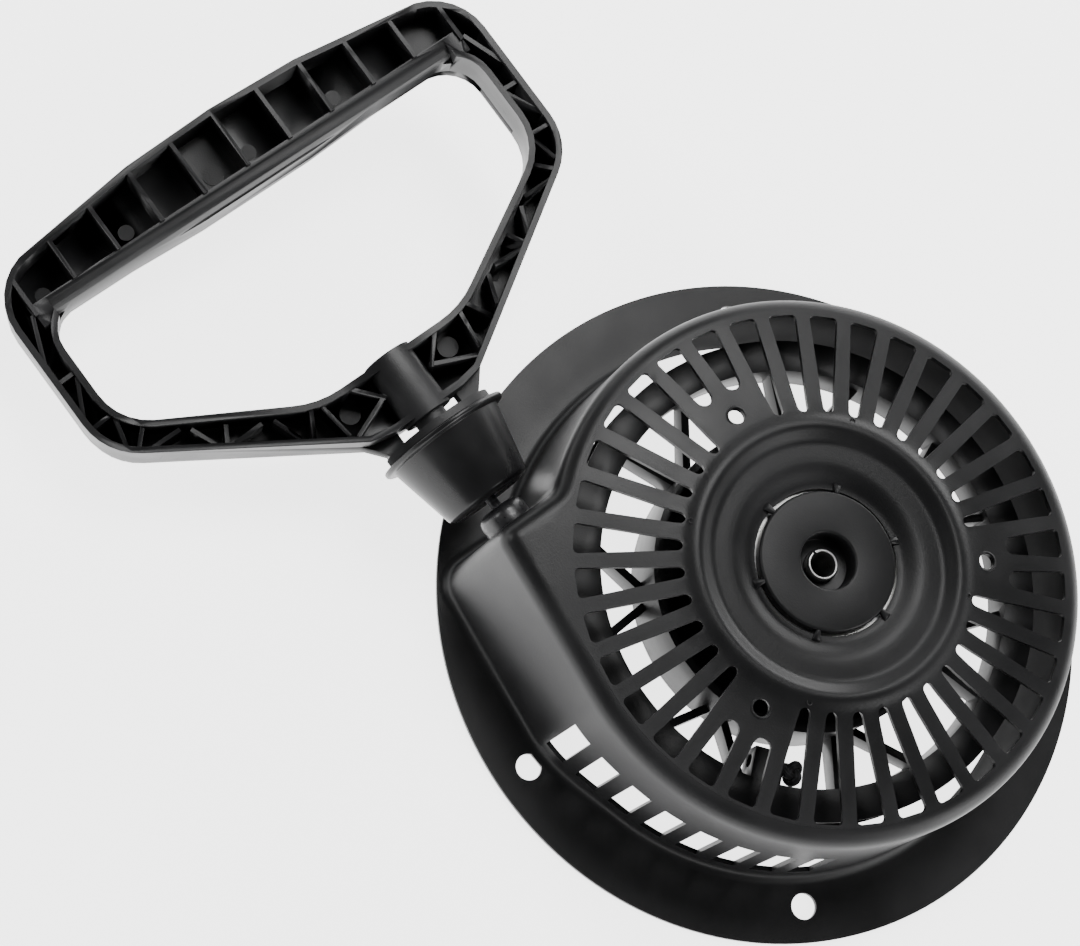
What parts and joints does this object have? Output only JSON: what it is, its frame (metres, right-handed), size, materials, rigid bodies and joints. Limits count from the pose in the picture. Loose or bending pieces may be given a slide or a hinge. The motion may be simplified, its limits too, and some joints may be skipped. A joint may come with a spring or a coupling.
{
  "type": "recoil starter",
  "caption": "Recoil starter: pressed steel housing with a radial grille and round flange, rope pulley, rewind spring and starting dogs inside, and a wide ribbed mitten grip on the rope.",
  "frame": {"origin": "pulley axis in the plane of the mounting flange", "axes": "+Z along the pulley axis away from the engine, +X the way the rope is pulled, +Y towards the side the rope leaves on"},
  "size_m": [0.3293, 0.2607, 0.059],
  "materials": {
    "painted_steel": "satin black paint",
    "dark_metal": "black, worn bright at the mouth",
    "zinc_steel": "zinc plated",
    "spring_steel": "blued spring steel",
    "black_nylon": "moulded",
    "pale_nylon": "natural nylon",
    "rope": "braided polyester",
    "cup_plastic": "satin",
    "grip_plastic": "fine moulded grain"
  },
  "bodies": {
    "root": {"housing": "painted_steel", "centre_post": "painted_steel", "centre_pin": "zinc_steel", "rope_eyelet": "dark_metal", "spring_keeper": "zinc_steel", "spring_cover": "zinc_steel", "rewind_spring": "spring_steel", "upper_washer": "pale_nylon", "thrust_washer": "zinc_steel", "brake_spring": "spring_steel", "rope_run": "rope"},
    "pulley": {"pulley": "black_nylon", "rope_winding": "rope", "pulley_knot": "rope", "dog_pins": "zinc_steel", "dog_springs": "spring_steel"},
    "retainer": {"dog_retainer": "zinc_steel"},
    "dog_1": {"dog_1": "zinc_steel"},
    "dog_2": {"dog_2": "zinc_steel"},
    "rope_end": {"rope_lead": "rope", "handle_cup": "cup_plastic"},
    "handle": {"handle_grip": "grip_plastic", "handle_insert": "zinc_steel", "handle_knot": "rope"}
  },
  "joints": [
    {"name": "rope_pull", "type": "slide", "parent": "root", "child": "rope_end", "axis": [1, 0, 0], "range_m": [0, 1.6], "stiffness_N_per_m": 6, "springref_m": -1, "deforming": ["rope_lead"]},
    {"name": "handle_twist", "type": "hinge", "parent": "rope_end", "child": "handle", "pos_m": [0.11, 0.066, 0.031], "axis": [1, 0, 0], "range_deg": [-20, 20]},
    {"name": "pulley_spin", "type": "hinge", "parent": "root", "child": "pulley", "pos_m": [0, 0, 0.03], "axis": [0, 0, 1], "range_deg": [-1290, 0]},
    {"name": "retainer_turn", "type": "hinge", "parent": "pulley", "child": "retainer", "pos_m": [0, 0, 0.003], "axis": [0, 0, 1], "range_deg": [0, 30], "stiffness_Nm_per_rad": 0.02},
    {"name": "dog_1_swing", "type": "hinge", "parent": "pulley", "child": "dog_1", "pos_m": [0.02, 0, 0.007], "axis": [0, 0, 1], "range_deg": [0, 32]},
    {"name": "dog_2_swing", "type": "hinge", "parent": "pulley", "child": "dog_2", "pos_m": [-0.02, 0, 0.007], "axis": [0, 0, 1], "range_deg": [0, 32]}
  ],
  "couplings": [
    {"joint": "pulley_spin", "follows": "rope_pull", "rad_per_m": -14.025},
    {"joint": "dog_1_swing", "follows": "retainer_turn", "ratio": 1.0666},
    {"joint": "dog_2_swing", "follows": "retainer_turn", "ratio": 1.0666}
  ]
}
